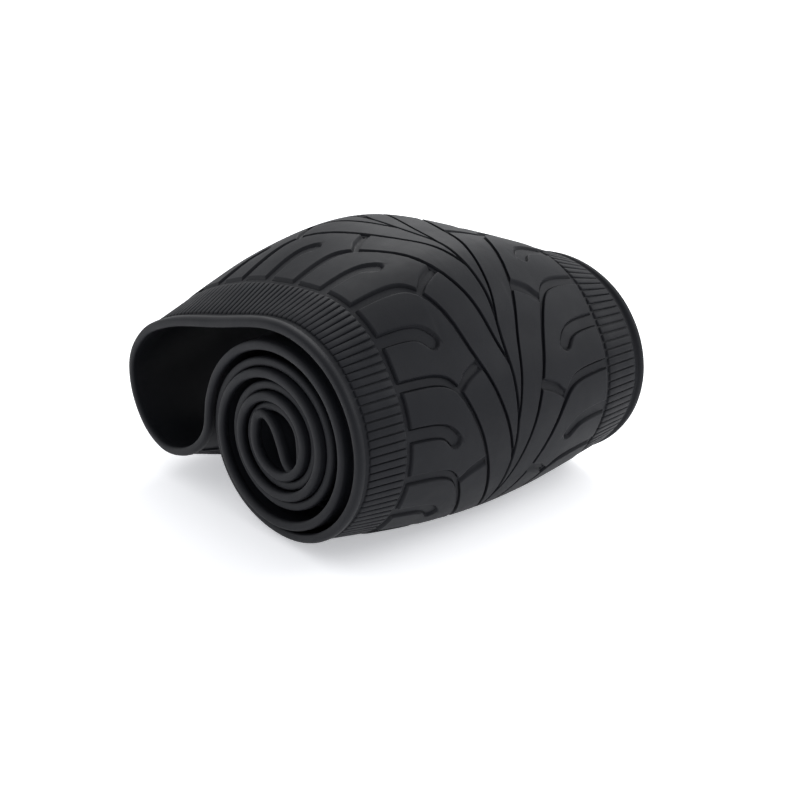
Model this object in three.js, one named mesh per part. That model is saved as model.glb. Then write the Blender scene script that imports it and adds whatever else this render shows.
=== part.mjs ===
// A stretch-on steering wheel cover: one moulded ring of silicone rubber, flattened to a double
// strip and rolled up from one end, so that the last loop of the ring stands off beside the roll.
// Millimetres, +Z up. The roll's axis lies along Y, and its free loop points to -X.

import * as THREE from 'three';

// The band across its width
const bandWidth = 100;
const wallToGroove = 1.5;
const treadRelief = 0.75;
const beadThickness = 2.6;
const beadWidth = 2.6;
const ribHeight = 0.5;
const ribStripOuter = 46.4;
const ribStripInner = 36.2;
const shoulder = 34;

// The tread along the ring
const pitchLength = 25.3;
const ribsPerPitch = 11;
const grooveWidth = 3;
const shortGrooveWidth = 3.8;
const grooveDraft = 0.45;
const grooveBend = 18.4;
const grooveBendRadius = 3.4;
const grooveSweep = 1.35;
const shortGrooveEnd = 20;
const shortGrooveBend = 21.3;
const tieOuter = 17.6;
const tieInner = 9.2;
const tieWidth = 1;
const centreGrooveWidth = 0.9;
const firstGroove = 14;
const blockRows = [29, 23.5];
const tipRow = 0.8;
const innerRow = 7;
const lastRow = 3.2;
const dressedPitches = 10;
const pitchesBeforeFirst = 4.75;

// The roll: a spiral of both strands about a core, sagged under its own weight
const turnPitch = 2.85;
const coreRadius = 6.9;
const coreTurns = 3.5;
const outerTurnSlack = 2.4;
const slackEndTurns = [250, 400];
const outerTurnLift = 2.8;
const liftEndTurns = [90, 190];
const lowerSqueeze = 1.6;
const lowerSqueezeTurn = 218;
const sagWidening = 1.19;
const sagLean = 0.17;
const strandStagger = 3;
const flatSpotDepth = 0.6;

// How far the middle of the band stands out beyond its edges
const rollCrown = 2.5;
const topCrown = 19.5;
const loopEndCrown = 9;
const crownPower = 1.3;

// The innermost fold, as (across, up) points about the middle of the roll
const coreFold = [[9.4, -4.5], [6.6, -6.9], [3.7, -4.7], [2.1, -0.3], [-0.4, 4.7], [-4, 7], [-7.6, 5.1]];

// The free loop leaves the roll's side, reaches out and comes back over the top. Its points are
// (share of the reach from the roll's side, up).
const loopRoot = 33.4;
const loopReach = 39.5;
const freeLoop = [[0, -6.4], [0.15, -12.9], [0.38, -17.3], [0.62, -18.5], [0.85, -14.7],
  [1, -5.9], [0.995, 4.7], [0.785, 14.3], [0.43, 20.6], [-0.228, 26.7]];

const degrees = Math.PI / 180;
const turnStep = 18;
const coreEntryTurn = 64 * turnStep;
const coreExitTurn = 55 * turnStep;
const loopStartTurn = -4 * turnStep;
const samplesPerPoint = 24;
const longestStep = 9;
const longestGap = 10;

const innerFace = -(wallToGroove + treadRelief) / 2;
const grooveFloor = innerFace + wallToGroove;
const treadTop = grooveFloor + treadRelief;
const edgeLine = bandWidth / 2 - beadWidth;

function smoothStep(from, to, value) {
  return THREE.MathUtils.smoothstep(value, from, to);
}

// Each strand gains one turn pitch in every half turn, and the two strands lie between each other.
function spiralPoint(isOuterStrand, turn) {
  const layer = turn / 180 + (isOuterStrand ? 0 : 1);
  let radius = coreRadius + turnPitch * (2 * coreTurns - layer);
  radius += outerTurnSlack * (1 - smoothStep(...slackEndTurns, turn));
  if (isOuterStrand) radius += outerTurnLift * (1 - smoothStep(...liftEndTurns, turn));
  radius -= lowerSqueeze * Math.pow(0.5 + 0.5 * Math.cos((turn - lowerSqueezeTurn) * degrees), 3);
  const across = radius * Math.sin(turn * degrees);
  const up = radius * Math.cos(turn * degrees);
  return new THREE.Vector2(sagWidening * across, up + sagLean * across);
}

function rollCrownAt(layer) {
  return rollCrown * (1 - layer / (2 * coreTurns));
}

// The loop's underside bulges down to the table that the roll lies on.
function crownUnderLoop() {
  let rollLowest = Infinity;
  for (let turn = 120; turn <= 240; turn += 5) {
    rollLowest = Math.min(rollLowest, spiralPoint(true, turn).y - rollCrownAt(turn / 180));
  }
  const loopLowest = Math.min(...freeLoop.map((point) => point[1]));
  return loopLowest - rollLowest;
}

// One closed line through the whole ring: in along the outer strand, round the core fold, out
// along the inner strand and round the free loop. Each point carries its crown in z.
function ringPoints() {
  const points = [];
  const add = (x, y, crown) => points.push(new THREE.Vector3(x, y, crown));
  for (let turn = 0; turn <= coreEntryTurn; turn += turnStep) {
    const { x, y } = spiralPoint(true, turn);
    const lift = (topCrown - rollCrown) * (1 - smoothStep(-40, 62, turn));
    add(x, y, rollCrownAt(turn / 180) + lift);
  }
  coreFold.forEach(([x, y]) => add(x, y, 0));
  for (let turn = coreExitTurn; turn >= loopStartTurn; turn -= turnStep) {
    const { x, y } = spiralPoint(false, turn);
    add(x, y, -rollCrownAt(1 + turn / 180) * smoothStep(-120, 0, turn));
  }
  const under = crownUnderLoop();
  const shoulderCrown = 0.5 * (loopEndCrown + topCrown);
  const crowns = [0.1 * under, 0.5 * under, under, under, under, loopEndCrown,
    shoulderCrown, 0.9 * topCrown, topCrown, topCrown];
  freeLoop.forEach(([reach, up], i) => add(-loopRoot - reach * loopReach, up, crowns[i]));
  return points;
}

// The outer strand's hidden turns sit a little to the far side, and return at the core fold.
function staggerAt(pointIndex) {
  const entry = coreEntryTurn / turnStep;
  const rise = smoothStep(120 / turnStep, 200 / turnStep, pointIndex);
  const fall = 1 - smoothStep(entry, entry + coreFold.length + 1, pointIndex);
  return strandStagger * rise * fall;
}

// Samples along the closed line, with the running length, the crown and the outward direction.
function sampleRing(points) {
  const curve = new THREE.CatmullRomCurve3(points, true, 'centripetal');
  const count = points.length * samplesPerPoint;
  const raw = curve.getPoints(count);
  const samples = [];
  let length = 0;
  for (let i = 0; i <= count; i++) {
    const before = raw[(i - 1 + count) % count];
    const after = raw[(i + 1) % count];
    const span = Math.hypot(after.x - before.x, after.y - before.y);
    if (i > 0) length += Math.hypot(raw[i].x - before.x, raw[i].y - before.y);
    samples.push({
      length,
      x: raw[i].x,
      y: raw[i].y,
      crown: raw[i].z,
      outX: -(after.y - before.y) / span,
      outY: (after.x - before.x) / span,
      stagger: staggerAt(i / samplesPerPoint),
    });
  }
  return samples;
}

const ring = sampleRing(ringPoints());

// The samples on both sides of a value in a rising list, and how far between them it lies.
function bracket(list, value) {
  let low = 0;
  let high = list.length - 1;
  while (high - low > 1) {
    const middle = (low + high) >> 1;
    if (list[middle] <= value) low = middle;
    else high = middle;
  }
  return { low, high, part: (value - list[low]) / (list[high] - list[low]) };
}

// A point of the band on the line between two samples: place across it, and height over the
// middle of its wall. The crown lifts it, most at the band's middle.
function sectionPoint(low, high, part, across, height) {
  const mix = (name) => ring[low][name] + (ring[high][name] - ring[low][name]) * part;
  const edge = (2 * across) / bandWidth;
  const rise = height + mix('crown') * Math.pow(Math.max(0, 1 - edge * edge), crownPower);
  const x = mix('x') + mix('outX') * rise;
  const z = mix('y') + mix('outY') * rise;
  return new THREE.Vector3(x, across + mix('stagger'), z);
}

// Lengths along the ring are measured at the shoulder of the tread, where its grooves start.
function shoulderLengths() {
  const lengths = [0];
  let last = sectionPoint(0, 0, 0, -shoulder, treadTop);
  for (let i = 1; i < ring.length; i++) {
    const point = sectionPoint(i, i, 0, -shoulder, treadTop);
    lengths.push(lengths[i - 1] + point.distanceTo(last));
    last = point;
  }
  return lengths;
}

const lengthAt = shoulderLengths();
const ringLength = lengthAt[lengthAt.length - 1];
const pitchCount = Math.round(ringLength / pitchLength);
const pitch = ringLength / pitchCount;

function bandPoint(length, across, height) {
  const along = ((length % ringLength) + ringLength) % ringLength;
  const { low, high, part } = bracket(lengthAt, along);
  return sectionPoint(low, high, part, across, height);
}

// The dressed stretch, whose tread is cut, runs from under the free loop over the top and down
// the outside of the roll. The rest lies inside the roll and keeps the plain height of the tread.
const dressedStart = firstGroove - pitchesBeforeFirst * pitch;
const dressedEnd = dressedStart + dressedPitches * pitch;
const sweepRise = 2.6 * pitch;
const sweepFall = 3.5 * pitch;


// A long groove leaves the shoulder square to it, bends, and runs on towards the band's middle.
function bend(across, at, radius) {
  const past = at - Math.abs(across);
  return grooveSweep * (Math.hypot(past, radius) + past);
}

// How far the tread's pattern has run on along the ring by the time it is this far in.
function sweep(across, key) {
  const run = bend(across, grooveBend, grooveBendRadius) - bend(shoulder, grooveBend, grooveBendRadius);
  const rise = smoothStep(dressedStart, dressedStart + sweepRise, key);
  const fall = 1 - smoothStep(dressedEnd - sweepFall, dressedEnd, key);
  return Math.max(0, run) * rise * fall;
}

// A short groove ends in a hook that bends ahead of the long grooves beside it.
function hook(across) {
  return bend(across, shortGrooveBend, 3) - bend(across, grooveBend, grooveBendRadius);
}

const positions = [];
const triangles = [];
let tableHeight = -Infinity;

function place(length, across, height) {
  const point = bandPoint(length, across, height);
  positions.push(point.x, point.y, Math.max(point.z, tableHeight));
  return positions.length / 3 - 1;
}

// The length, within a stretch, where the middle of the tread comes lowest.
function lowestLength(from, to) {
  let best = from;
  let bestHeight = Infinity;
  for (let length = from; length <= to; length += 0.25) {
    const { z } = bandPoint(length, 0, treadTop);
    if (z < bestHeight) {
      best = length;
      bestHeight = z;
    }
  }
  return best;
}

// Rows run along the ring and carry their vertices in order of key, the length at the shoulder.
function makeRow(stations, across, height) {
  return stations.map((key) => ({ key, across, index: place(key, across, height) }));
}

function triangle(a, b, c) {
  triangles.push(a.index, b.index, c.index);
}

// Fills the strip between two rows; the second lies on the first one's left, seen from outside.
function zip(first, second) {
  let i = 0;
  let j = 0;
  while (i < first.length - 1 || j < second.length - 1) {
    const nextFirst = i < first.length - 1 ? first[i + 1].key : Infinity;
    const nextSecond = j < second.length - 1 ? second[j + 1].key : Infinity;
    if (nextFirst <= nextSecond) {
      triangle(first[i], first[i + 1], second[j]);
      i += 1;
    } else {
      triangle(first[i], second[j + 1], second[j]);
      j += 1;
    }
  }
}

// Fills the strip between two lines across the band.
function zipAcross(before, after) {
  let i = 0;
  let j = 0;
  while (i < before.length - 1 || j < after.length - 1) {
    const nextBefore = i < before.length - 1 ? before[i + 1].across : Infinity;
    const nextAfter = j < after.length - 1 ? after[j + 1].across : Infinity;
    if (nextBefore <= nextAfter) {
      triangle(before[i], after[j], before[i + 1]);
      i += 1;
    } else {
      triangle(before[i], after[j], after[j + 1]);
      j += 1;
    }
  }
}

// Stations of the dressed stretch that are close enough for the ring's bends.
function bendStations() {
  const stations = [dressedStart];
  const directionAt = (length) => {
    const a = bandPoint(length - 1, -shoulder, 0);
    const b = bandPoint(length + 1, -shoulder, 0);
    return Math.atan2(b.z - a.z, b.x - a.x);
  };
  let last = directionAt(dressedStart);
  for (let length = dressedStart; length < dressedEnd - 2; length += 0.5) {
    const change = THREE.MathUtils.euclideanModulo(directionAt(length) - last + Math.PI, 2 * Math.PI);
    const isStraight = Math.abs(change - Math.PI) < turnStep * degrees;
    if (isStraight && length - stations[stations.length - 1] < longestStep) continue;
    stations.push(length);
    last = directionAt(length);
  }
  stations.push(dressedEnd);
  return stations;
}

// Stations of the hidden stretch follow the turns, so both strands have them at the same angles.
function turnStations() {
  const stations = [];
  for (let i = 0; i < ring.length - 1; i += samplesPerPoint) {
    for (const station of [lengthAt[i], lengthAt[i] + ringLength]) {
      if (station > dressedEnd + 1 && station < dressedStart + ringLength - 1) stations.push(station);
    }
  }
  return stations.sort((a, b) => a - b);
}

const dressedStations = bendStations();
const hiddenStations = turnStations();

// Phases run through one pitch, from the middle of a long groove to the middle of the next.
// Each phase is [place in the pitch, is it cut down to the groove floor].
function cutPhases(width, middle) {
  const half = 0.5 * width;
  return [[middle - half - grooveDraft, false], [middle - half, true],
    [middle + half, true], [middle + half + grooveDraft, false]];
}

const longPhases = cutPhases(grooveWidth, 0);
const outerPhases = [...longPhases, [0.25 * pitch, false], ...cutPhases(shortGrooveWidth, 0.5 * pitch),
  [0.75 * pitch, false]];
const innerPhases = [...longPhases.slice(0, 2), [0, true], ...longPhases.slice(2),
  [pitch / 3, false], [(2 * pitch) / 3, false]];
const ribPhases = Array.from({ length: 2 * ribsPerPitch }, (_, i) => {
  return [(i * pitch) / (2 * ribsPerPitch), i % 2 === 0];
});

// One row of the tread. A row that follows a tie returns through the middle of a groove, at phase
// 0. The left side's long grooves start half a pitch before the right side's. Where the pattern
// is drawn out along the ring, a vertex halfway keeps the row on the band.
function treadRow(side, phases, acrossAt, heightAt) {
  const row = [];
  const offset = firstGroove + (side > 0 ? 0.5 * pitch : 0);
  let last = null;
  const add = (key, phase, isCut) => {
    const isShort = isCut && Math.abs(phase - 0.5 * pitch) < 0.25 * pitch;
    const across = side * acrossAt(phase / pitch);
    const length = key + sweep(across, key) + (isShort ? hook(across) : 0);
    const height = heightAt(isCut);
    if (last && length - last.length > longestGap) {
      const halfway = 0.5 * (across + last.across);
      const index = place(0.5 * (length + last.length), halfway, Math.max(height, last.height));
      row.push({ key: 0.5 * (key + last.key), across: halfway, index });
    }
    last = { key, across, length, height };
    row.push({ key, across, index: place(length, across, height) });
  };
  add(dressedStart, 0.25 * pitch, false);
  const first = Math.floor((dressedStart - offset) / pitch);
  for (let count = first; count <= first + dressedPitches + 1; count++) {
    phases.forEach(([phase, isCut]) => {
      const key = offset + count * pitch + phase;
      const wrappedPhase = phase < 0 ? phase + pitch : phase;
      if (key > dressedStart + 1 && key < dressedEnd - 1) add(key, wrappedPhase, isCut);
    });
  }
  add(dressedEnd, 0.25 * pitch, false);
  return row;
}

const cutOrTop = (isCut) => (isCut ? grooveFloor : treadTop);
const alwaysCut = () => grooveFloor;
const ribOrFloor = (isCut) => (isCut ? grooveFloor : grooveFloor + ribHeight);

// The rows of one side from its edge to beside the centre groove.
function sideRows(side) {
  const rows = [];
  const add = (phases, acrossAt, heightAt) => rows.push(treadRow(side, phases, acrossAt, heightAt));
  const tie = (offset) => (part) => tieInner + (tieOuter - tieInner) * (part || 0.5) + offset;
  const midway = (a, b) => (part) => 0.5 * (a(part) + b(part));
  const at = (across) => () => across;
  add(ribPhases, at(ribStripOuter), ribOrFloor);
  add(ribPhases, at(ribStripInner), ribOrFloor);
  rows.push(makeRow(dressedStations, side * (shoulder + grooveDraft), grooveFloor));
  const outer = [shoulder, ...blockRows, shortGrooveEnd + tipRow];
  outer.forEach((across) => add(outerPhases, at(across), cutOrTop));
  add(innerPhases, at(shortGrooveEnd), cutOrTop);
  add(innerPhases, midway(at(shortGrooveEnd), tie(0.5 * tieWidth + grooveDraft)), cutOrTop);
  add(innerPhases, tie(0.5 * tieWidth + grooveDraft), cutOrTop);
  add(innerPhases, tie(0.5 * tieWidth), alwaysCut);
  add(innerPhases, tie(-0.5 * tieWidth), alwaysCut);
  add(innerPhases, tie(-0.5 * tieWidth - grooveDraft), cutOrTop);
  add(innerPhases, midway(at(innerRow), tie(-0.5 * tieWidth - grooveDraft)), cutOrTop);
  add(innerPhases, at(innerRow), cutOrTop);
  add(innerPhases, at(lastRow), cutOrTop);
  add(innerPhases, at(0.5 * centreGrooveWidth + grooveDraft), cutOrTop);
  return rows;
}

// A closed row all the way round the ring, and its dressed and hidden parts.
function closedRow(across, height, dressedHeight = height) {
  const dressed = makeRow(dressedStations, across, dressedHeight);
  const hidden = makeRow(hiddenStations, across, height);
  const start = { key: dressedStart + ringLength, across, index: dressed[0].index };
  return { dressed, hidden, all: [...dressed, ...hidden, start] };
}

function beadRows(side) {
  const half = 0.5 * beadThickness;
  const crest = side * (0.5 * bandWidth - 0.75 * beadWidth);
  const rim = side * 0.5 * bandWidth;
  const rows = [[crest, half], [rim, 0.45 * half], [rim, -0.45 * half], [crest, -half]];
  return rows.map(([across, height]) => closedRow(across, height).all);
}

// The centre groove's row, shallow at both ends of the dressed stretch.
function centreRow() {
  const row = dressedStations.map((key, i) => {
    const isEnd = i === 0 || i === dressedStations.length - 1;
    const index = place(key + sweep(0, key), 0, isEnd ? treadTop : grooveFloor);
    return { key, across: 0, index };
  });
  return row;
}

function buildBand() {
  const lowest = bandPoint(lowestLength(0.08 * ringLength, 0.17 * ringLength), 0, treadTop);
  tableHeight = lowest.z + flatSpotDepth;
  const wallRows = [-edgeLine, -shortGrooveEnd, 0, shortGrooveEnd, edgeLine];

  // The outer face: dressed rows, hidden rows, and the two lines where they meet
  const leftEdge = closedRow(-edgeLine, treadTop, grooveFloor);
  const rightEdge = closedRow(edgeLine, treadTop, grooveFloor);
  const dressed = [leftEdge.dressed, ...sideRows(-1), centreRow(), ...sideRows(1).reverse()];
  dressed.push(rightEdge.dressed);
  const hidden = wallRows.slice(1, -1).map((across) => makeRow(hiddenStations, across, treadTop));
  hidden.unshift(leftEdge.hidden);
  hidden.push(rightEdge.hidden);
  for (const rows of [dressed, hidden]) {
    for (let i = 0; i < rows.length - 1; i++) zip(rows[i], rows[i + 1]);
  }
  const line = (rows, place) => rows.map((row) => row.at(place));
  zipAcross(line(dressed, -1), line(hidden, 0));
  zipAcross(line(hidden, -1), line(dressed, 0));

  // The rest of the section: one bead, the inner face, the other bead
  const inner = wallRows.map((across) => closedRow(across, innerFace).all).reverse();
  const around = [rightEdge.all, ...beadRows(1), ...inner, ...beadRows(-1).reverse(), leftEdge.all];
  for (let i = 0; i < around.length - 1; i++) zip(around[i], around[i + 1]);
}

buildBand();

const geometry = new THREE.BufferGeometry();
geometry.setAttribute('position', new THREE.Float32BufferAttribute(positions, 3));
geometry.setIndex(triangles);
geometry.computeBoundingBox();
const middle = geometry.boundingBox.getCenter(new THREE.Vector3());
geometry.translate(-middle.x, -middle.y, -tableHeight);
geometry.computeVertexNormals();

const rubber = new THREE.MeshStandardMaterial({ color: '#2c2e31', roughness: 0.72, metalness: 0 });
const cover = new THREE.Mesh(geometry, rubber);
cover.name = 'steering_wheel_cover';

const part = new THREE.Group();
part.name = 'rolled_steering_wheel_cover';
part.add(cover);

export default part;
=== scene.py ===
# %% [markdown]
# # A rolled silicone steering wheel cover
#
# The real cover is one moulded ring of black silicone rubber. For sale it is flattened to a
# double strip and rolled up from one end, so most of the ring lies in a roll and the last of it
# stands off as a free loop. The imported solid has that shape. This lesson dresses it: the wall
# with its beaded edges, the cut tread, the fine ribs beside it, the rubber itself, and a plain
# pale table under soft light.
#
# Lengths are in millimetres until a mesh is made. The roll's own axes are across and up about
# the middle of the roll, and the band's width runs along Y.

import bpy
import numpy as np
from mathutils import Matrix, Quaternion, Vector


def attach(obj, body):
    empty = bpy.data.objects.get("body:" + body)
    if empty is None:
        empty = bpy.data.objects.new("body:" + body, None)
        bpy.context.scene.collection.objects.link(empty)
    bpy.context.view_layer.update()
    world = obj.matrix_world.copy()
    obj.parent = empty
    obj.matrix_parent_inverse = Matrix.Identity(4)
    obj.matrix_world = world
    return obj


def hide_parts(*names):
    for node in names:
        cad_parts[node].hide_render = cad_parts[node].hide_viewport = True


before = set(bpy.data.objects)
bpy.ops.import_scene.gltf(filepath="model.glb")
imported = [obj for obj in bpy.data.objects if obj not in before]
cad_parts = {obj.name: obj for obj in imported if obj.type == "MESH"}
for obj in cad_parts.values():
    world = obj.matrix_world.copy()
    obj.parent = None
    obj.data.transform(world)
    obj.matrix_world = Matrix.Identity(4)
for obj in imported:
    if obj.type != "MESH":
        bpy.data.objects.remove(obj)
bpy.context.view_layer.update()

# %% [markdown]
# ## The line of the roll
#
# Seen from its end, the cover is one closed line: an outer strand that winds in to a fold in the
# core, an inner strand that winds back out, and the free loop that joins them again. Each strand
# gains one turn pitch in every half turn. A soft body could be rolled up by simulation, but a
# line drawn by rule comes out the same each time and can be set against a photograph.
#
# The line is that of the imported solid. How far the band bulges at the middle of its width, its
# crown, and how far one strand stands out beside the other were set again for this scene.

# %% Sizes of the band
BAND_WIDTH = 100.0
WALL_AT_GROOVE = 1.5
RELIEF = 0.75
BEAD_THICKNESS = 2.6
SHOULDER = 34.0
INNER_FACE = -(WALL_AT_GROOVE + RELIEF) / 2
FLOOR = INNER_FACE + WALL_AT_GROOVE
TOP = FLOOR + RELIEF

# %% Sizes of the roll
TURN_PITCH = 2.85
CORE_RADIUS = 6.9
CORE_TURNS = 3.5
TURN_STEP = 18
CORE_ENTRY = 64 * TURN_STEP
CORE_EXIT = 55 * TURN_STEP
LOOP_START = -4 * TURN_STEP
ROLL_STRETCH, ROLL_LEAN = 1.19, 0.17
SLACK, SLACK_TURNS = 2.4, (250, 400)
LAST_SLACK, LAST_SLACK_TURNS = 2.8, (90, 190)
PRESSED_IN, PRESSED_AT = 1.6, 218
STAGGER, STAGGER_TURNS = 1.4, (120, 200)

CORE_FOLD = [(9.4, -4.5), (6.6, -6.9), (3.7, -4.7), (2.1, -0.3), (-0.4, 4.7), (-4, 7), (-7.6, 5.1)]
LOOP_ROOT, LOOP_REACH = 33.4, 39.5
LOOP_SHAPE = [(0, -6.4), (0.15, -12.9), (0.38, -17.3), (0.62, -18.5), (0.85, -14.7),
              (1, -5.9), (0.995, 4.7), (0.785, 14.3), (0.43, 20.6), (-0.228, 26.7)]
FREE_LOOP = [(-LOOP_ROOT - LOOP_REACH * share, up) for share, up in LOOP_SHAPE]
MIDDLE = np.array([-23.7056, 1.5, -28.0453])

# %% Sizes of the crown
CROWN_POWER = 1.3
ROLL_CROWN = 2.5
ONTO_ROLL_CROWNS = [13.8, 12.3, 8.7, 3.3]
FRONT_SWELL, SWELL_AT, SWELL_SPREAD = 3.0, 146, 28
INNER_CROWN_TURNS = (-120, 0)
UNDER_LOOP_SHARES = [0.1, 0.5, 1, 1, 1]
OVER_LOOP_CROWNS = [9.0, 14.0, 10.9, 15.0, 19.5]


# %% Points of the line
def smooth_step(start, end, value):
    t = np.clip((value - start) / (end - start), 0, 1)
    return t * t * (3 - 2 * t)


def spiral_point(outer, turn):
    """A point of a strand in the roll, so many degrees on from the roll's top."""
    layer = turn / 180 + (0 if outer else 1)
    radius = CORE_RADIUS + TURN_PITCH * (2 * CORE_TURNS - layer)
    radius += SLACK * (1 - smooth_step(*SLACK_TURNS, turn))
    if outer:
        radius += LAST_SLACK * (1 - smooth_step(*LAST_SLACK_TURNS, turn))
    radius -= PRESSED_IN * (0.5 + 0.5 * np.cos(np.radians(turn - PRESSED_AT))) ** 3
    across, up = radius * np.sin(np.radians(turn)), radius * np.cos(np.radians(turn))
    return ROLL_STRETCH * across, up + ROLL_LEAN * across


def roll_crown(layer):
    """The crown of the band in the roll, which is flat by the time it reaches the core."""
    return ROLL_CROWN * (1 - layer / (2 * CORE_TURNS))


def outer_strand():
    points = []
    for turn in range(0, CORE_ENTRY + 1, TURN_STEP):
        swell = FRONT_SWELL * np.exp(-(((turn - SWELL_AT) / SWELL_SPREAD) ** 2))
        points.append((*spiral_point(True, turn), roll_crown(turn / 180) + swell))
    onto_roll = [(*point[:2], crown) for point, crown in zip(points, ONTO_ROLL_CROWNS)]
    return onto_roll + points[len(onto_roll):]


def inner_strand():
    points = []
    for turn in range(CORE_EXIT, LOOP_START - 1, -TURN_STEP):
        crown = roll_crown(1 + turn / 180) * smooth_step(*INNER_CROWN_TURNS, turn)
        points.append((*spiral_point(False, turn), -crown))
    return points


def free_loop():
    """The loop's points. Its crown underneath is what brings it down to the table."""
    lowest = min(spiral_point(True, t)[1] - roll_crown(t / 180) for t in range(120, 241, 5))
    under = min(up for _, up in FREE_LOOP) - lowest
    crowns = [share * under for share in UNDER_LOOP_SHARES] + OVER_LOOP_CROWNS
    return [(x, up, crown) for (x, up), crown in zip(FREE_LOOP, crowns)]


core_fold = [(x, up, 0.0) for x, up in CORE_FOLD]
points = np.array(outer_strand() + core_fold + inner_strand() + free_loop(), float)
print(len(points), "points round the ring")


# %% A smooth curve through the points
def closed_curve(points, steps):
    """Samples of a closed centripetal curve through the points."""
    p0, p1, p2, p3 = (np.roll(points, k, axis=0)[:, None] for k in (1, 0, -1, -2))
    d0, d1, d2 = (np.linalg.norm(b - a, axis=2)[..., None] ** 0.5
                  for a, b in ((p0, p1), (p1, p2), (p2, p3)))
    m1 = ((p1 - p0) / d0 - (p2 - p0) / (d0 + d1) + (p2 - p1) / d1) * d1
    m2 = ((p2 - p1) / d1 - (p3 - p1) / (d1 + d2) + (p3 - p2) / d2) * d1
    t = np.linspace(0, 1, steps, endpoint=False)[None, :, None]
    curve = p1 + m1 * t + (3 * (p2 - p1) - 2 * m1 - m2) * t**2 + (2 * (p1 - p2) + m1 + m2) * t**3
    curve = curve.reshape(-1, 3)
    return np.vstack([curve, curve[:1]])


# %% [markdown]
# ## The band as a surface
#
# Everything on the cover is moulded in the band, so everything is drawn flat first, by its
# length round the ring, its place across the band and its height on the wall, and one function
# lays it on the roll. Curve and lattice modifiers could bend a flat strip too, but they stretch
# it at tight folds, and they can't give the band its crown.

# %% Directions along the line
STEPS = 24
line = closed_curve(points, STEPS)
after, before = np.roll(line[:-1], -1, axis=0), np.roll(line[:-1], 1, axis=0)
slope = (after - before)[:, :2]
slope /= np.linalg.norm(slope, axis=1)[:, None]
outward = np.column_stack([-slope[:, 1], slope[:, 0]])
outward = np.vstack([outward, outward[:1]])

index = np.arange(len(line)) / STEPS
entry = CORE_ENTRY / TURN_STEP
stagger = STAGGER * smooth_step(*(turn / TURN_STEP for turn in STAGGER_TURNS), index)
stagger *= 1 - smooth_step(entry, entry + len(CORE_FOLD) + 1, index)
columns = (line[:, 0], line[:, 1], line[:, 2], outward[:, 0], outward[:, 1], stagger)


# %% From the flat band to the roll
def section(across, height, x, up, crown, out_x, out_up, shift):
    """Points across the band where the line has this place, crown and outward direction."""
    edge = np.clip(1 - (2 * across / BAND_WIDTH) ** 2, 0, None)
    rise = height + crown * edge**CROWN_POWER
    return np.stack([x + out_x * rise, across + shift, up + out_up * rise], axis=-1)


at_shoulder = section(-SHOULDER, TOP, *columns)
spans = np.linalg.norm(np.diff(at_shoulder, axis=0), axis=1)
length_at = np.concatenate([[0], np.cumsum(spans)])
RING = length_at[-1]
USUAL_PITCH = 25.3
PITCHES = round(RING / USUAL_PITCH)
PITCH = RING / PITCHES


def band(length, across, height):
    """Points of the band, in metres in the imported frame, pressed flat where they meet the table."""
    length, across, height = np.broadcast_arrays(length, across, height)
    along = np.mod(length, RING)
    place = section(across, height, *(np.interp(along, length_at, c) for c in columns))
    place[..., 2] = np.maximum(place[..., 2], MIDDLE[2])
    return (place - MIDDLE) / 1000


print("ring", round(RING, 1), "mm at the shoulder,", PITCHES, "pitches of", round(PITCH, 2), "mm")


# %% Making meshes out of grids
def grid_faces(rows, cols, closed=False):
    """Quads of a grid whose rows lie across the band and whose columns lie along it."""
    across = np.arange(rows - 1)[:, None]
    along = np.arange(cols if closed else cols - 1)[None, :]
    after = (along + 1) % cols
    quads = np.stack([across * cols + along, across * cols + after,
                      (across + 1) * cols + after, (across + 1) * cols + along], axis=-1)
    return quads.reshape(-1, 4)


def split_short(verts, quads):
    """Triangles from quads, each split along its shorter diagonal, so a leaning cut stays crisp."""
    corner = verts.reshape(-1, 3)[quads]
    first = np.linalg.norm(corner[:, 0] - corner[:, 2], axis=1)
    second = np.linalg.norm(corner[:, 1] - corner[:, 3], axis=1)
    turned = np.where((first <= second)[:, None], quads, np.roll(quads, -1, axis=1))
    return np.vstack([turned[:, [0, 1, 2]], turned[:, [0, 2, 3]]])


def make_piece(name, verts, faces):
    mesh = bpy.data.meshes.new(name)
    mesh.from_pydata(verts.reshape(-1, 3).tolist(), [], faces.tolist())
    mesh.shade_smooth()
    piece = bpy.data.objects.new(name, mesh)
    bpy.context.scene.collection.objects.link(piece)
    print(name, len(mesh.vertices), "vertices,", len(mesh.polygons), "faces")
    return piece


# %% [markdown]
# ## The wall
#
# The wall is the rubber under the tread, with a rounded bead along each edge that grips the
# wheel's rim. It could be a curve with a bevel profile, but a bevel knows nothing of the crown.
# So the section is a row of points across the band, repeated all the way round the ring: over
# the inner face, round both beads and over the plain margins to the foot of the tread.

# %% Rows of the wall
BEAD_CREST = BAND_WIDTH / 2 - 1.9
BEAD_SQUARENESS = 0.62
BEAD_MIDDLE = 0.25
INNER_EDGE = 46.6
MARGIN_START, MARGIN_END = SHOULDER + 0.56, BAND_WIDTH / 2 - 2.9
TREAD_ROOT = [(-0.75, 0), (-0.5, 0.12), (-0.3, 0.42)]


def rounded(value):
    """A sine or cosine made fuller, so that the bead is a little square."""
    return np.sign(value) * abs(value) ** BEAD_SQUARENESS


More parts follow.
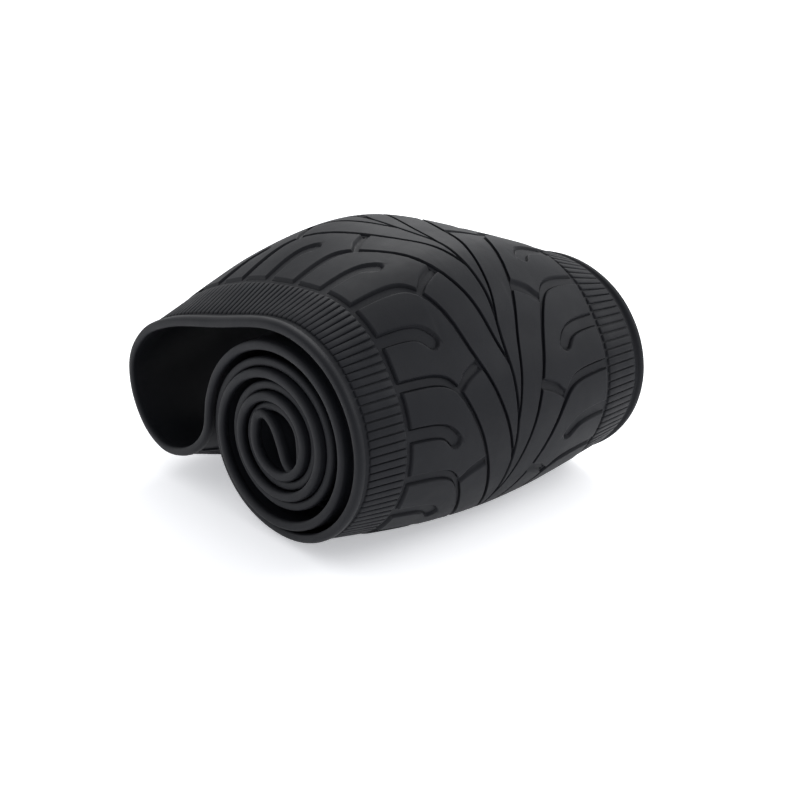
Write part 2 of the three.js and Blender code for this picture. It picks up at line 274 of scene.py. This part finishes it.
def bead_outline(side):
    """The rounded bead, from the margin on the tread side to the inner face."""
    half = BEAD_THICKNESS / 2
    reach = BAND_WIDTH / 2 - BEAD_CREST - BEAD_MIDDLE
    rows = [(BEAD_CREST + across, FLOOR + height) for across, height in TREAD_ROOT]
    rows.append((BEAD_CREST - 0.05, half - 0.1))
    for turn in np.radians(np.linspace(75, -75, 11)):
        rows.append((BEAD_CREST + BEAD_MIDDLE + reach * rounded(np.cos(turn)),
                     half * rounded(np.sin(turn))))
    rows += [(BEAD_CREST - 0.1, -half + 0.03), (BEAD_CREST - 0.45, -half + 0.12)]
    rows.append((BEAD_CREST - 0.9, INNER_FACE))
    return [(side * across, height) for across, height in rows]


margin = np.linspace(MARGIN_START, MARGIN_END, 9)
inner = np.linspace(INNER_EDGE, -INNER_EDGE, 33)
outline = [(across, FLOOR) for across in margin] + bead_outline(1)
outline += [(across, INNER_FACE) for across in inner]
outline += bead_outline(-1)[::-1] + [(-across, FLOOR) for across in margin[::-1]]
outline = np.array(outline)
print(len(outline), "points across the wall")

# %% The wall's mesh
WALL_STATIONS = 820
stations = np.linspace(0, RING, WALL_STATIONS, endpoint=False)
verts = band(stations[None, :], outline[:, 0][:, None], outline[:, 1][:, None])
wall = make_piece("cover_wall", verts, grid_faces(len(outline), len(stations), closed=True))

# %% [markdown]
# ## The tread
#
# The outside has a tyre-like tread, moulded as shallow cuts: long grooves that start at the
# shoulder and sweep into the band's middle, short grooves between them that end in a hook, and
# narrow ties from one long groove to the next. Cutting them with booleans would leave ragged
# edges and a mesh that is hard to smooth. A grid that leans with its own grooves keeps every
# cut edge crisp: its columns follow the grooves, its rows follow the ties, and both lie close
# together at the edges of the cuts. The height of each point comes from its distance to the
# nearest cut, with a fine crease at the foot of each wall, where the photograph has a dark line.
#
# The far side's long grooves start about half a pitch after the near side's.

# %% Sizes of the grooves
FIRST_GROOVE = 14.0
NEAR_AHEAD = 3.2
LONG_HALF = 1.45
SHORT_HALF = 1.9
SHORT_END = 20.0
SHORT_CAP = 20.9
TIE_HALF = 0.42
CENTRE_HALF = 0.3
TIE_INNER, TIE_RUN = 9.6, 7.8
FIRST_PITCH, SHOWN_PITCHES = -9, 15

LEAN = 1.35
LONG_BEND = (18.4, 3.4)
SHORT_BEND = (21.3, 3.0)
FAR_DRAG, NEAR_DRAG = 0.085, 0.03
HOOK_FROM = 15
HOOK_REACH = (3.0, 11.0)
SPREAD_ACROSS = (17.4, 19.2)
SPREAD_END = 9.0

SOFT_EDGE = 0.22
EDGE_INSIDE = 0.05
CREASE, CREASE_AT, CREASE_WIDTH = 0.42, 0.2, 0.11


# %% Paths of the grooves
def bend(across, at, radius):
    """Run along the ring of a groove that is level at the edge and leans in past a round bend."""
    past = at - np.abs(across)
    return LEAN * (np.hypot(past, radius) + past)


def sweep(across):
    """How far the pattern has run on along the ring by the time it is this far in."""
    return np.maximum(0, bend(across, *LONG_BEND) - bend(SHOULDER, *LONG_BEND))


def drag(across, side):
    """Near the band's middle the cuts lie down further still, most on the far side."""
    return (FAR_DRAG if side > 0 else NEAR_DRAG) * np.maximum(0, TIE_INNER - across) ** 2


def hook(across):
    """A short groove bends ahead of the long ones and ends in a hook."""
    near = np.maximum(across, SHORT_END)
    ahead = bend(near, *SHORT_BEND) - bend(near, *LONG_BEND)
    return ahead * smooth_step(HOOK_FROM, SHORT_END, across)


def short_slope(across):
    """How steeply a short groove runs along the ring at this place across it."""
    at, radius = SHORT_BEND
    past = at - across
    return LEAN * (past / np.hypot(past, radius) + 1)


def widened(offset, across):
    """Spreads the columns about a short groove, so that it stays as wide where it bends."""
    edge = SHORT_HALF + 0.45
    steepness = np.hypot(1, short_slope(across)) - 1
    stretch = 1 + steepness * smooth_step(*SPREAD_ACROSS, across)
    distance = np.abs(offset)
    share = (SPREAD_END - edge * stretch) / (SPREAD_END - edge)
    beyond = edge * stretch + (distance - edge) * share
    outside = np.where(distance < SPREAD_END, beyond, distance)
    return np.sign(offset) * np.where(distance < edge, distance * stretch, outside)


def tie_line(phase):
    """Where the tie between two long grooves lies across the band, and its way back in a groove."""
    back = LONG_HALF - 0.5
    part = np.where(np.abs(phase) < back, 0.5 - 0.5 * phase / back,
                    np.mod(phase - back, PITCH) / (PITCH - 2 * back))
    return TIE_INNER + TIE_RUN * part


# %% Heights of the tread
def short_distance(offset, across):
    """True distance from the line of a short groove, whose end is round."""
    along = offset + bend(across, *LONG_BEND) + hook(across)
    foot = across
    for _ in range(2):
        steep = short_slope(foot)
        beside = (along - bend(foot, *SHORT_BEND) + steep * (across - foot)) / np.hypot(1, steep)
        foot = np.maximum(SHORT_CAP, across - beside * steep / np.hypot(1, steep))
    return np.hypot(along - bend(foot, *SHORT_BEND), across - foot)


def tread_height(phase, across, short_offset):
    """Height of the tread from its distance to the nearest cut, which is below zero inside one."""
    distance = np.abs(phase) - LONG_HALF
    others = (short_distance(short_offset, across) - SHORT_HALF,
              np.abs(across - tie_line(phase)) - TIE_HALF,
              across - CENTRE_HALF,
              SHOULDER + EDGE_INSIDE - across)
    for other in others:
        distance = np.minimum(distance, other)
    cut = 1 - smooth_step(-EDGE_INSIDE, SOFT_EDGE - EDGE_INSIDE, distance)
    crease = np.exp(-(((distance + CREASE_AT) / CREASE_WIDTH) ** 2)) * (across < SHOULDER + 0.5)
    return TOP - RELIEF * cut - CREASE * crease


# %% Columns and rows of the tread's grid
PLAIN_STEP = 0.7
CLEAR_OF_MARK = 0.22
EDGE_MARKS = np.array([-0.45, -0.31, -0.2, -0.11, -0.04, 0.04, 0.12, 0.22, 0.5])
TIE_MARKS = (0.66, 0.56, 0.47, 0.38, 0.25, 0, -0.25, -0.38, -0.47, -0.56, -0.66)
SHOULDER_ROWS = [34.6, 34.5, 34.38, 34.26, 34.14, 34.0, 33.85, 33.6]
CENTRE_ROWS = [1.1, 0.8, 0.6, 0.5, 0.43, 0.36, 0.3, 0.24, 0.12, 0]
HOOK_ROWS_END = 18.7
BESIDE_TIE = 0.85
DRAG_ROWS_START = 6.6


def column_phases():
    """Places through one pitch, close together at the edges of the cuts."""
    plain = np.arange(-PITCH / 2, PITCH / 2, PLAIN_STEP)
    marks = [sign * (LONG_HALF + EDGE_MARKS) for sign in (-1, 1)]
    marks += [PITCH / 2 - SHORT_HALF - EDGE_MARKS, SHORT_HALF + EDGE_MARKS - PITCH / 2]
    marks.append(np.linspace(-0.9, 0.9, 5))
    inside_short = np.arange(0.12, SHORT_HALF - 0.45, 0.26)
    marks += [PITCH / 2 - inside_short, inside_short - PITCH / 2]
    marks = np.concatenate(marks)
    clear = np.abs(plain[:, None] - marks[None, :]).min(axis=1) > CLEAR_OF_MARK
    return np.sort(np.concatenate([plain[clear], marks]))


def row_places(phase):
    """Rows from the foot of the shoulder to the band's middle, one list of places per phase."""
    tie = tie_line(phase)
    over_tie, under_tie = tie + BESIDE_TIE, tie - BESIDE_TIE
    outer = SHOULDER_ROWS + list(np.arange(32.8, 22.9, -0.9)) + list(np.arange(22.7, 18.8, -0.17))
    rows = [np.full_like(phase, place) for place in outer]
    rows += [HOOK_ROWS_END + (over_tie - HOOK_ROWS_END) * t for t in np.linspace(0, 1, 6)]
    rows += [tie + step for step in TIE_MARKS]
    rows += [under_tie + (DRAG_ROWS_START - under_tie) * t for t in np.linspace(0, 1, 9)]
    rows += [np.full_like(phase, place) for place in [*np.arange(6.1, 1.4, -0.5), *CENTRE_ROWS]]
    return np.array(rows)


# %% The tread's meshes
def tread_side(name, side):
    phases = column_phases()
    first = FIRST_GROOVE + (PITCH / 2 if side > 0 else NEAR_AHEAD)
    pitch = np.repeat(np.arange(FIRST_PITCH, FIRST_PITCH + SHOWN_PITCHES), len(phases))
    phase = np.tile(phases, SHOWN_PITCHES)
    start = first + pitch * PITCH + phase
    across = row_places(phase)
    from_short = phase - np.where(phase < 0, -PITCH / 2, PITCH / 2)
    offset = widened(from_short, across)
    hooked = hook(across) * (1 - smooth_step(*HOOK_REACH, np.abs(from_short)))
    heights = tread_height(phase[None, :], across, offset)
    length = start[None, :] + sweep(across) + drag(across, side) + offset - from_short + hooked
    verts = band(length, side * across, heights)
    if side > 0:
        verts = verts[::-1]
    return make_piece(name, verts, split_short(verts, grid_faces(len(verts), verts.shape[1])))


near_tread = tread_side("cover_tread_near", -1)
far_tread = tread_side("cover_tread_far", 1)

# %% [markdown]
# ## The hidden turns
#
# The tread runs on into the roll, where nobody sees it. A full tread there would cost as many
# faces again for nothing, so the rest of the ring is one plain sheet at the blocks' height,
# which keeps the turns as thick as they should be.

# %% The hidden tread
HIDDEN_STEP = 1.6
HIDDEN_EDGE = np.array([33.8, 34.2, 34.6])
HIDDEN_FOOT = 34.3
hidden_start = FIRST_GROOVE + (FIRST_PITCH + SHOWN_PITCHES - 1) * PITCH
hidden_end = FIRST_GROOVE + (FIRST_PITCH + 1) * PITCH + RING
stations = np.arange(hidden_start, hidden_end, HIDDEN_STEP)
places = np.concatenate([-HIDDEN_EDGE[::-1], np.linspace(-32, 32, 25), HIDDEN_EDGE])
heights = np.where(np.abs(places) > HIDDEN_FOOT, FLOOR, TOP - 0.02)
verts = band(stations[None, :], places[:, None], heights[:, None])
hidden_tread = make_piece("cover_tread_hidden", verts, grid_faces(len(places), len(stations)))

# %% [markdown]
# ## The ribs
#
# The margins between bead and tread carry fine ribs, eleven to each pitch of the tread. One rib
# is the same as the next, so this is work for Geometry Nodes: one rib is modelled, and the tree
# sets a copy on each guide point, turned to the band there. An array modifier along a curve
# would do on a flat strip, but here each rib also leans with the crown. Ribs are set only where
# the margin can be seen.

# %% One rib
RIBS_IN_PITCH = 11
RIB_OUTER, RIB_INNER = 46.3, 35.4
RIB_HALF = 0.92
RIB_FOOT = -0.2
RIB_NARROWEST = 0.7
RIB_PROFILE = [(-1, RIB_FOOT), (-0.97, 0.3), (-0.86, 0.44), (-0.6, 0.49), (0, 0.5),
               (0.6, 0.49), (0.86, 0.44), (0.97, 0.3), (1, RIB_FOOT)]
RIB_ENDS = [(-0.5, 0.0), (-0.485, 0.85), (-0.46, 1.0), (-0.2, 1.0),
            (0.2, 1.0), (0.46, 1.0), (0.485, 0.85), (0.5, 0.0)]


def rib_mesh():
    """A long rounded bar along X, one metre long before it is scaled, with sloping ends."""
    verts = []
    for x, grown in RIB_ENDS:
        half = RIB_HALF * (RIB_NARROWEST + (1 - RIB_NARROWEST) * grown)
        for share, height in RIB_PROFILE:
            verts.append((x, half * share / 1000, (RIB_FOOT + (height - RIB_FOOT) * grown) / 1000))
    faces = grid_faces(len(RIB_ENDS), len(RIB_PROFILE))[:, ::-1]
    mesh = bpy.data.meshes.new("rib")
    mesh.from_pydata(verts, [], faces.tolist())
    mesh.shade_smooth()
    return mesh


rib_source = bpy.data.objects.new("rib_source", rib_mesh())
print("one rib:", len(rib_source.data.polygons), "faces")

# %% Guide points
RIBS_AFTER_TOP, RIBS_BEFORE_TOP = 165, 150


def rib_guides():
    """Places, directions and outward normals of the ribs on both margins."""
    places, directions, normals = [], [], []
    along = FIRST_GROOVE + (np.arange(RIBS_IN_PITCH * PITCHES) + 0.5) * (PITCH / RIBS_IN_PITCH)
    along = along[(along < RIBS_AFTER_TOP) | (along > RING - RIBS_BEFORE_TOP)]
    for side in (-1, 1):
        foot = band(along, side * RIB_OUTER, FLOOR)
        head = band(along, side * RIB_INNER, FLOOR)
        middle = band(along, side * (RIB_OUTER + RIB_INNER) / 2, FLOOR)
        raised = band(along, side * (RIB_OUTER + RIB_INNER) / 2, FLOOR + 1)
        places.append((foot + head + 2 * middle) / 4)
        directions.append(head - foot)
        normals.append(raised - middle)
    return np.vstack(places), np.vstack(directions), np.vstack(normals)


places, directions, normals = rib_guides()
guides = bpy.data.meshes.new("rib_guides")
guides.from_pydata(places.tolist(), [], [])
for name, values in (("direction", directions), ("normal_out", normals)):
    layer = guides.attributes.new(name, "FLOAT_VECTOR", "POINT")
    layer.data.foreach_set("vector", values.ravel())
print(len(places), "guide points for ribs")


# %% The tree that sets the ribs
def rib_rotation(tree, direction, normal):
    """Turns a copy so that its length follows the direction and its top faces along the normal."""
    turn = tree.nodes.new("FunctionNodeAxesToRotation")
    turn.primary_axis, turn.secondary_axis = "X", "Z"
    tree.links.new(direction, turn.inputs["Primary Axis"])
    tree.links.new(normal, turn.inputs["Secondary Axis"])
    return turn.outputs["Rotation"]


def rib_scale(tree, direction, width):
    """Scales a copy to the rib's length, and by the tree's own input across it."""
    length = tree.nodes.new("ShaderNodeVectorMath")
    length.operation = "LENGTH"
    tree.links.new(direction, length.inputs[0])
    scale = tree.nodes.new("ShaderNodeCombineXYZ")
    tree.links.new(length.outputs["Value"], scale.inputs["X"])
    tree.links.new(width, scale.inputs["Y"])
    scale.inputs["Z"].default_value = 1.0
    return scale.outputs["Vector"]


def rib_tree(source):
    tree = bpy.data.node_groups.new("set_ribs", "GeometryNodeTree")
    tree.interface.new_socket("Guides", in_out="INPUT", socket_type="NodeSocketGeometry")
    tree.interface.new_socket("Rib width", in_out="INPUT", socket_type="NodeSocketFloat")
    tree.interface.new_socket("Rubber", in_out="INPUT", socket_type="NodeSocketMaterial")
    tree.interface.new_socket("Ribs", in_out="OUTPUT", socket_type="NodeSocketGeometry")
    new = tree.nodes.new
    link = tree.links.new
    start, end = new("NodeGroupInput"), new("NodeGroupOutput")
    stored = []
    for name in ("direction", "normal_out"):
        node = new("GeometryNodeInputNamedAttribute")
        node.data_type = "FLOAT_VECTOR"
        node.inputs["Name"].default_value = name
        stored.append(node.outputs["Attribute"])
    direction, normal = stored
    model = new("GeometryNodeObjectInfo")
    model.inputs["Object"].default_value = source
    dots = new("GeometryNodeMeshToPoints")
    copies = new("GeometryNodeInstanceOnPoints")
    real = new("GeometryNodeRealizeInstances")
    paint = new("GeometryNodeSetMaterial")
    link(start.outputs["Guides"], dots.inputs["Mesh"])
    link(dots.outputs["Points"], copies.inputs["Points"])
    link(model.outputs["Geometry"], copies.inputs["Instance"])
    link(rib_rotation(tree, direction, normal), copies.inputs["Rotation"])
    link(rib_scale(tree, direction, start.outputs["Rib width"]), copies.inputs["Scale"])
    link(copies.outputs["Instances"], real.inputs["Geometry"])
    link(real.outputs["Geometry"], paint.inputs["Geometry"])
    link(start.outputs["Rubber"], paint.inputs["Material"])
    link(paint.outputs["Geometry"], end.inputs["Ribs"])
    return tree


# %% [markdown]
# ## The rubber
#
# Silicone from a blasted mould is charcoal rather than black, with a soft satin gloss and a very
# fine matt grain. One flat colour would look like plastic, so low noise makes the colour and the
# gloss a little uneven, and two bumps give the grain and the slight swell of soft rubber. All of
# it reads Object coordinates, so the pieces match where they meet.

# %% Material
RUBBER_DARK, RUBBER_PALE = (0.0046, 0.0051, 0.0072), (0.0070, 0.0077, 0.0102)
RUBBER_SPECULAR = 0.18
ROUGHNESS_RANGE = (0.52, 0.68)


def rubber_material():
    material = bpy.data.materials.new("silicone_rubber")
    material.use_nodes = True
    nodes, link = material.node_tree.nodes, material.node_tree.links.new
    shader = nodes["Principled BSDF"]
    shader.inputs["Specular IOR Level"].default_value = RUBBER_SPECULAR
    place = nodes.new("ShaderNodeTexCoord")

    def noise(scale, detail, roughness=0.55):
        node = nodes.new("ShaderNodeTexNoise")
        node.inputs["Scale"].default_value = scale
        node.inputs["Detail"].default_value = detail
        node.inputs["Roughness"].default_value = roughness
        link(place.outputs["Object"], node.inputs["Vector"])
        return node.outputs["Fac"]

    def bump(height, strength, distance):
        node = nodes.new("ShaderNodeBump")
        node.inputs["Strength"].default_value = strength
        node.inputs["Distance"].default_value = distance
        link(height, node.inputs["Height"])
        return node

    tone = nodes.new("ShaderNodeValToRGB")
    stops = ((0.3, RUBBER_DARK), (0.75, RUBBER_PALE))
    for element, (position, colour) in zip(tone.color_ramp.elements, stops):
        element.position = position
        element.color = (*colour, 1)
    link(noise(scale=38, detail=4), tone.inputs["Fac"])
    link(tone.outputs["Color"], shader.inputs["Base Color"])

    gloss = nodes.new("ShaderNodeMapRange")
    gloss.inputs["To Min"].default_value, gloss.inputs["To Max"].default_value = ROUGHNESS_RANGE
    link(noise(scale=120, detail=5), gloss.inputs["Value"])
    link(gloss.outputs["Result"], shader.inputs["Roughness"])

    grain = bump(noise(scale=2600, detail=3, roughness=0.6), strength=0.22, distance=0.00012)
    swell = bump(noise(scale=95, detail=2), strength=0.25, distance=0.0006)
    link(swell.outputs["Normal"], grain.inputs["Normal"])
    link(grain.outputs["Normal"], shader.inputs["Normal"])
    return material


rubber = rubber_material()
for piece in (wall, near_tread, far_tread, hidden_tread):
    piece.data.materials.append(rubber)
print("material:", rubber.name)

# %% Setting the ribs
guide_piece = bpy.data.objects.new("rib_guides", guides)
bpy.context.scene.collection.objects.link(guide_piece)
setter = guide_piece.modifiers.new("set_ribs", "NODES")
setter.node_group = rib_tree(rib_source)
items = setter.node_group.interface.items_tree
sockets = {item.name: item.identifier for item in items if item.in_out == "INPUT"}
setter[sockets["Rib width"]] = 1.0
setter[sockets["Rubber"]] = rubber
settled = guide_piece.evaluated_get(bpy.context.evaluated_depsgraph_get())
ribs = bpy.data.objects.new("cover_ribs", bpy.data.meshes.new_from_object(settled))
bpy.context.scene.collection.objects.link(ribs)
bpy.data.objects.remove(guide_piece)
print("ribs:", len(ribs.data.polygons), "faces")

# %% [markdown]
# ## Riding with the imported ring
#
# The cover is one piece of rubber with no joints, so all five pieces stand for the one packed
# ring and ride with its one body.

# %% Every piece rides with the imported ring
for piece in (wall, near_tread, far_tread, hidden_tread, ribs):
    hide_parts("steering_wheel_cover")
    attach(piece, "root")

# %% [markdown]
# ## Table, light and camera
#
# The photograph is a plain studio picture: a white ground that fades into the backdrop, one soft
# shadow under the roll, and light that comes mostly from above and behind. A large white table
# that glows a little, a pale world, one very wide sun and two soft disks give the same. The
# camera has the photograph's angle and distance, found by fitting the outline of the roll.

# %% The table
TABLE_REACH = 6.0
TABLE_GLOW = 0.42


def table_top():
    mesh = bpy.data.meshes.new("table")
    corners = [(-1, -1), (1, -1), (1, 1), (-1, 1)]
    mesh.from_pydata([(TABLE_REACH * x, TABLE_REACH * y, 0) for x, y in corners], [], [(0, 1, 2, 3)])
    piece = bpy.data.objects.new("table", mesh)
    bpy.context.scene.collection.objects.link(piece)
    material = bpy.data.materials.new("pale_table")
    material.use_nodes = True
    shader = material.node_tree.nodes["Principled BSDF"]
    shader.inputs["Base Color"].default_value = (0.95, 0.95, 0.955, 1)
    shader.inputs["Roughness"].default_value = 0.7
    shader.inputs["Emission Color"].default_value = (0.96, 0.97, 1.0, 1)
    shader.inputs["Emission Strength"].default_value = TABLE_GLOW
    mesh.materials.append(material)
    return piece


table_top()

# %% Soft studio light
LIT_POINT = (0.0, 0.0, 0.035)


def add_light(light, place, towards):
    holder = bpy.data.objects.new(light.name, light)
    holder.location = place
    holder.rotation_euler = Vector(towards).to_track_quat("-Z", "Y").to_euler()
    bpy.context.scene.collection.objects.link(holder)


def soft_light(name, place, size, power):
    """A round lamp that points at the cover."""
    light = bpy.data.lights.new(name, "AREA")
    light.shape = "DISK"
    light.size = size
    light.energy = power
    add_light(light, place, Vector(LIT_POINT) - Vector(place))


def overhead_light(towards, strength, spread):
    """A very wide, far light, so the table is lit evenly as far as it goes."""
    light = bpy.data.lights.new("overhead_light", "SUN")
    light.energy = strength
    light.angle = np.radians(spread)
    add_light(light, (0, 0, 0), towards)


soft_light("key_light", (-0.45, 0.45, 0.6), size=0.5, power=2.4)
soft_light("side_light", (0.35, 0.6, 0.45), size=0.4, power=2.4)
overhead_light((0.3, -0.42, -0.85), strength=0.55, spread=60)

# %% The backdrop
world = bpy.data.worlds.new("studio")
bpy.context.scene.world = world
world.use_nodes = True
backdrop = world.node_tree.nodes["Background"]
backdrop.inputs["Color"].default_value = (0.97, 0.98, 1.0, 1)
backdrop.inputs["Strength"].default_value = 0.85
bpy.context.scene.view_settings.view_transform = "Standard"

# %% The photograph's camera
CAMERA_PLACE = (0.3199, -0.2440, 0.1710)
LENS = 66.15
azimuth, elevation, tilt = np.radians([51.53, 20.51, -1.15])

camera_data = bpy.data.cameras.new("camera")
camera_data.sensor_width = 36.0
camera_data.lens = LENS
camera = bpy.data.objects.new("camera", camera_data)
bpy.context.scene.collection.objects.link(camera)
camera.location = CAMERA_PLACE
forward = Vector((-np.sin(azimuth) * np.cos(elevation),
                  np.cos(azimuth) * np.cos(elevation),
                  -np.sin(elevation)))
level = forward.to_track_quat("-Z", "Y")
camera.rotation_euler = (level @ Quaternion((0, 0, 1), tilt)).to_euler()
bpy.context.scene.camera = camera
